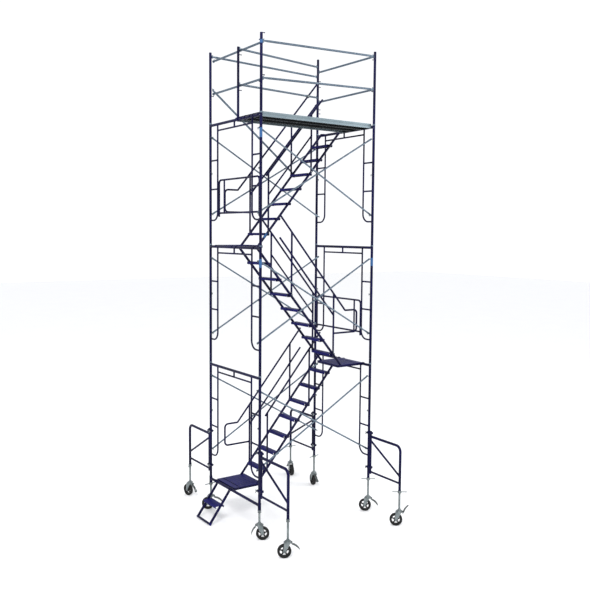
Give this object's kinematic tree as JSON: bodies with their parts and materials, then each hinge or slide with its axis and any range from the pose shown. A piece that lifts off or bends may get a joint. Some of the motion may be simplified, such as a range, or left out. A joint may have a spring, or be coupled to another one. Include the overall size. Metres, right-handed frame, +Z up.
{
  "type": "mobile tower scaffold",
  "caption": "Tall rolling stair tower scaffold with welded walk-through frames, cross braces, outriggers, inside stairs, plank deck and guard rails on jacks and swivel casters.",
  "frame": {"origin": "on the floor under the centre of the whole tower's bounding box", "axes": "+Z up, +X along the long bay from the entry end, +Y across the end frames"},
  "size_m": [2.6424, 3.3257, 7.6452],
  "materials": {
    "frame_paint": "semi-gloss dark blue paint over steel tube",
    "galvanised": "galvanised steel with a soft spangle",
    "zinc": "bright zinc plate",
    "tyre_rubber": "solid black rubber tyre on a pale hub"
  },
  "bodies": {
    "tower": {"lower_frame_left": "frame_paint", "lower_frame_right": "frame_paint", "middle_frame_left": "frame_paint", "middle_frame_right": "frame_paint", "upper_frame_left": "frame_paint", "upper_frame_right": "frame_paint", "lower_stair": "frame_paint", "middle_stair": "frame_paint", "upper_stair": "frame_paint", "outriggers_left": "frame_paint", "outriggers_right": "frame_paint", "coupling_pins": "zinc", "cross_braces": "galvanised", "stair_handrails": "frame_paint", "starter_bar": "frame_paint", "planks": "galvanised", "guard_posts": "frame_paint", "guard_rails": "galvanised", "end_guards": "frame_paint"},
    "entry_step": {"entry_step": "frame_paint"},
    "nut_front_left": {"jack_nut_front_left": "zinc"},
    "screw_front_left": {"jack_screw_front_left": "zinc"},
    "fork_front_left": {"caster_fork_front_left": "zinc"},
    "wheel_front_left": {"caster_wheel_front_left": "tyre_rubber"},
    "lever_front_left": {"brake_lever_front_left": "zinc"},
    "nut_back_left": {"jack_nut_back_left": "zinc"},
    "screw_back_left": {"jack_screw_back_left": "zinc"},
    "fork_back_left": {"caster_fork_back_left": "zinc"},
    "wheel_back_left": {"caster_wheel_back_left": "tyre_rubber"},
    "lever_back_left": {"brake_lever_back_left": "zinc"},
    "nut_front_right": {"jack_nut_front_right": "zinc"},
    "screw_front_right": {"jack_screw_front_right": "zinc"},
    "fork_front_right": {"caster_fork_front_right": "zinc"},
    "wheel_front_right": {"caster_wheel_front_right": "tyre_rubber"},
    "lever_front_right": {"brake_lever_front_right": "zinc"},
    "nut_back_right": {"jack_nut_back_right": "zinc"},
    "screw_back_right": {"jack_screw_back_right": "zinc"},
    "fork_back_right": {"caster_fork_back_right": "zinc"},
    "wheel_back_right": {"caster_wheel_back_right": "tyre_rubber"},
    "lever_back_right": {"brake_lever_back_right": "zinc"},
    "nut_outer_front_left": {"jack_nut_outer_front_left": "zinc"},
    "screw_outer_front_left": {"jack_screw_outer_front_left": "zinc"},
    "fork_outer_front_left": {"caster_fork_outer_front_left": "zinc"},
    "wheel_outer_front_left": {"caster_wheel_outer_front_left": "tyre_rubber"},
    "lever_outer_front_left": {"brake_lever_outer_front_left": "zinc"},
    "nut_outer_back_left": {"jack_nut_outer_back_left": "zinc"},
    "screw_outer_back_left": {"jack_screw_outer_back_left": "zinc"},
    "fork_outer_back_left": {"caster_fork_outer_back_left": "zinc"},
    "wheel_outer_back_left": {"caster_wheel_outer_back_left": "tyre_rubber"},
    "lever_outer_back_left": {"brake_lever_outer_back_left": "zinc"},
    "nut_outer_front_right": {"jack_nut_outer_front_right": "zinc"},
    "screw_outer_front_right": {"jack_screw_outer_front_right": "zinc"},
    "fork_outer_front_right": {"caster_fork_outer_front_right": "zinc"},
    "wheel_outer_front_right": {"caster_wheel_outer_front_right": "tyre_rubber"},
    "lever_outer_front_right": {"brake_lever_outer_front_right": "zinc"},
    "nut_outer_back_right": {"jack_nut_outer_back_right": "zinc"},
    "screw_outer_back_right": {"jack_screw_outer_back_right": "zinc"},
    "fork_outer_back_right": {"caster_fork_outer_back_right": "zinc"},
    "wheel_outer_back_right": {"caster_wheel_outer_back_right": "tyre_rubber"},
    "lever_outer_back_right": {"brake_lever_outer_back_right": "zinc"}
  },
  "joints": [
    {"name": "jack_front_left", "type": "slide", "parent": "tower", "child": "screw_front_left", "axis": [0, 0, 1], "range_m": [-0.127, 0.12]},
    {"name": "nut_turn_front_left", "type": "hinge", "parent": "tower", "child": "nut_front_left", "pos_m": [-0.972, -0.762, 0.437], "axis": [0, 0, 1], "range_deg": [-7201, 6805]},
    {"name": "swivel_front_left", "type": "hinge", "parent": "screw_front_left", "child": "fork_front_left", "pos_m": [-0.972, -0.762, 0.222], "axis": [0, 0, 1], "continuous": true},
    {"name": "roll_front_left", "type": "hinge", "parent": "fork_front_left", "child": "wheel_front_left", "pos_m": [-0.93104, -0.79068, 0.1016], "axis": [0.5736, 0.8192, 0], "continuous": true},
    {"name": "brake_front_left", "type": "hinge", "parent": "fork_front_left", "child": "lever_front_left", "pos_m": [-1.01951, -0.72873, 0.211], "axis": [0.5736, 0.8192, 0], "range_deg": [-3, 97]},
    {"name": "jack_back_left", "type": "slide", "parent": "tower", "child": "screw_back_left", "axis": [0, 0, 1], "range_m": [-0.127, 0.12]},
    {"name": "nut_turn_back_left", "type": "hinge", "parent": "tower", "child": "nut_back_left", "pos_m": [-0.972, 0.762, 0.437], "axis": [0, 0, 1], "range_deg": [-7201, 6805]},
    {"name": "swivel_back_left", "type": "hinge", "parent": "screw_back_left", "child": "fork_back_left", "pos_m": [-0.972, 0.762, 0.222], "axis": [0, 0, 1], "continuous": true},
    {"name": "roll_back_left", "type": "hinge", "parent": "fork_back_left", "child": "wheel_back_left", "pos_m": [-1.01296, 0.79068, 0.1016], "axis": [-0.5736, -0.8192, 0], "continuous": true},
    {"name": "brake_back_left", "type": "hinge", "parent": "fork_back_left", "child": "lever_back_left", "pos_m": [-0.92449, 0.72873, 0.211], "axis": [-0.5736, -0.8192, 0], "range_deg": [-38, 62]},
    {"name": "jack_front_right", "type": "slide", "parent": "tower", "child": "screw_front_right", "axis": [0, 0, 1], "range_m": [-0.127, 0.12]},
    {"name": "nut_turn_front_right", "type": "hinge", "parent": "tower", "child": "nut_front_right", "pos_m": [1.162, -0.762, 0.547], "axis": [0, 0, 1], "range_deg": [-7201, 6805]},
    {"name": "swivel_front_right", "type": "hinge", "parent": "screw_front_right", "child": "fork_front_right", "pos_m": [1.162, -0.762, 0.222], "axis": [0, 0, 1], "continuous": true},
    {"name": "roll_front_right", "type": "hinge", "parent": "fork_front_right", "child": "wheel_front_right", "pos_m": [1.12986, -0.7237, 0.1016], "axis": [-0.766, -0.6428, 0], "continuous": true},
    {"name": "brake_front_right", "type": "hinge", "parent": "fork_front_right", "child": "lever_front_right", "pos_m": [1.19928, -0.80643, 0.211], "axis": [-0.766, -0.6428, 0], "range_deg": [-26, 97]},
    {"name": "jack_back_right", "type": "slide", "parent": "tower", "child": "screw_back_right", "axis": [0, 0, 1], "range_m": [-0.127, 0.12]},
    {"name": "nut_turn_back_right", "type": "hinge", "parent": "tower", "child": "nut_back_right", "pos_m": [1.162, 0.762, 0.547], "axis": [0, 0, 1], "range_deg": [-7201, 6805]},
    {"name": "swivel_back_right", "type": "hinge", "parent": "screw_back_right", "child": "fork_back_right", "pos_m": [1.162, 0.762, 0.222], "axis": [0, 0, 1], "continuous": true},
    {"name": "roll_back_right", "type": "hinge", "parent": "fork_back_right", "child": "wheel_back_right", "pos_m": [1.1741, 0.81051, 0.1016], "axis": [-0.9703, 0.2419, 0], "continuous": true},
    {"name": "brake_back_right", "type": "hinge", "parent": "fork_back_right", "child": "lever_back_right", "pos_m": [1.14797, 0.70572, 0.211], "axis": [-0.9703, 0.2419, 0], "range_deg": [-26, 97]},
    {"name": "jack_outer_front_left", "type": "slide", "parent": "tower", "child": "screw_outer_front_left", "axis": [0, 0, 1], "range_m": [-0.127, 0.12]},
    {"name": "nut_turn_outer_front_left", "type": "hinge", "parent": "tower", "child": "nut_outer_front_left", "pos_m": [-0.972, -1.524, 0.547], "axis": [0, 0, 1], "range_deg": [-7201, 6805]},
    {"name": "swivel_outer_front_left", "type": "hinge", "parent": "screw_outer_front_left", "child": "fork_outer_front_left", "pos_m": [-0.972, -1.524, 0.222], "axis": [0, 0, 1], "continuous": true},
    {"name": "roll_outer_front_left", "type": "hinge", "parent": "fork_outer_front_left", "child": "wheel_outer_front_left", "pos_m": [-1.01615, -1.50053, 0.1016], "axis": [-0.4695, -0.8829, 0], "continuous": true},
    {"name": "brake_outer_front_left", "type": "hinge", "parent": "fork_outer_front_left", "child": "lever_outer_front_left", "pos_m": [-0.92079, -1.55123, 0.211], "axis": [-0.4695, -0.8829, 0], "range_deg": [-28, 95]},
    {"name": "jack_outer_back_left", "type": "slide", "parent": "tower", "child": "screw_outer_back_left", "axis": [0, 0, 1], "range_m": [-0.127, 0.12]},
    {"name": "nut_turn_outer_back_left", "type": "hinge", "parent": "tower", "child": "nut_outer_back_left", "pos_m": [-0.972, 1.524, 0.547], "axis": [0, 0, 1], "range_deg": [-7201, 6805]},
    {"name": "swivel_outer_back_left", "type": "hinge", "parent": "screw_outer_back_left", "child": "fork_outer_back_left", "pos_m": [-0.972, 1.524, 0.222], "axis": [0, 0, 1], "continuous": true},
    {"name": "roll_outer_back_left", "type": "hinge", "parent": "fork_outer_back_left", "child": "wheel_outer_back_left", "pos_m": [-0.9841, 1.57252, 0.1016], "axis": [-0.9703, -0.2419, 0], "continuous": true},
    {"name": "brake_outer_back_left", "type": "hinge", "parent": "fork_outer_back_left", "child": "lever_outer_back_left", "pos_m": [-0.95797, 1.46772, 0.211], "axis": [-0.9703, -0.2419, 0], "range_deg": [-19, 104]},
    {"name": "jack_outer_front_right", "type": "slide", "parent": "tower", "child": "screw_outer_front_right", "axis": [0, 0, 1], "range_m": [-0.127, 0.12]},
    {"name": "nut_turn_outer_front_right", "type": "hinge", "parent": "tower", "child": "nut_outer_front_right", "pos_m": [1.162, -1.524, 0.547], "axis": [0, 0, 1], "range_deg": [-7201, 6805]},
    {"name": "swivel_outer_front_right", "type": "hinge", "parent": "screw_outer_front_right", "child": "fork_outer_front_right", "pos_m": [1.162, -1.524, 0.222], "axis": [0, 0, 1], "continuous": true},
    {"name": "roll_outer_front_right", "type": "hinge", "parent": "fork_outer_front_right", "child": "wheel_outer_front_right", "pos_m": [1.1237, -1.49186, 0.1016], "axis": [-0.6428, -0.766, 0], "continuous": true},
    {"name": "brake_outer_front_right", "type": "hinge", "parent": "fork_outer_front_right", "child": "lever_outer_front_right", "pos_m": [1.20643, -1.56128, 0.211], "axis": [-0.6428, -0.766, 0], "range_deg": [-123, 0]},
    {"name": "jack_outer_back_right", "type": "slide", "parent": "tower", "child": "screw_outer_back_right", "axis": [0, 0, 1], "range_m": [-0.127, 0.12]},
    {"name": "nut_turn_outer_back_right", "type": "hinge", "parent": "tower", "child": "nut_outer_back_right", "pos_m": [1.162, 1.524, 0.547], "axis": [0, 0, 1], "range_deg": [-7201, 6805]},
    {"name": "swivel_outer_back_right", "type": "hinge", "parent": "screw_outer_back_right", "child": "fork_outer_back_right", "pos_m": [1.162, 1.524, 0.222], "axis": [0, 0, 1], "continuous": true},
    {"name": "roll_outer_back_right", "type": "hinge", "parent": "fork_outer_back_right", "child": "wheel_outer_back_right", "pos_m": [1.14906, 1.4757, 0.1016], "axis": [0.9659, -0.2588, 0], "continuous": true},
    {"name": "brake_outer_back_right", "type": "hinge", "parent": "fork_outer_back_right", "child": "lever_outer_back_right", "pos_m": [1.17701, 1.58002, 0.211], "axis": [0.9659, -0.2588, 0], "range_deg": [-23, 100]},
    {"name": "entry_step_lift", "type": "hinge", "parent": "tower", "child": "entry_step", "pos_m": [-0.972, 0, 0.524], "axis": [0, 1, 0], "range_deg": [0, 95]}
  ],
  "couplings": [
    {"joint": "nut_turn_front_left", "follows": "jack_front_left", "rad_per_m": 989.48},
    {"joint": "nut_turn_back_left", "follows": "jack_back_left", "rad_per_m": 989.48},
    {"joint": "nut_turn_front_right", "follows": "jack_front_right", "rad_per_m": 989.48},
    {"joint": "nut_turn_back_right", "follows": "jack_back_right", "rad_per_m": 989.48},
    {"joint": "nut_turn_outer_front_left", "follows": "jack_outer_front_left", "rad_per_m": 989.48},
    {"joint": "nut_turn_outer_back_left", "follows": "jack_outer_back_left", "rad_per_m": 989.48},
    {"joint": "nut_turn_outer_front_right", "follows": "jack_outer_front_right", "rad_per_m": 989.48},
    {"joint": "nut_turn_outer_back_right", "follows": "jack_outer_back_right", "rad_per_m": 989.48}
  ]
}
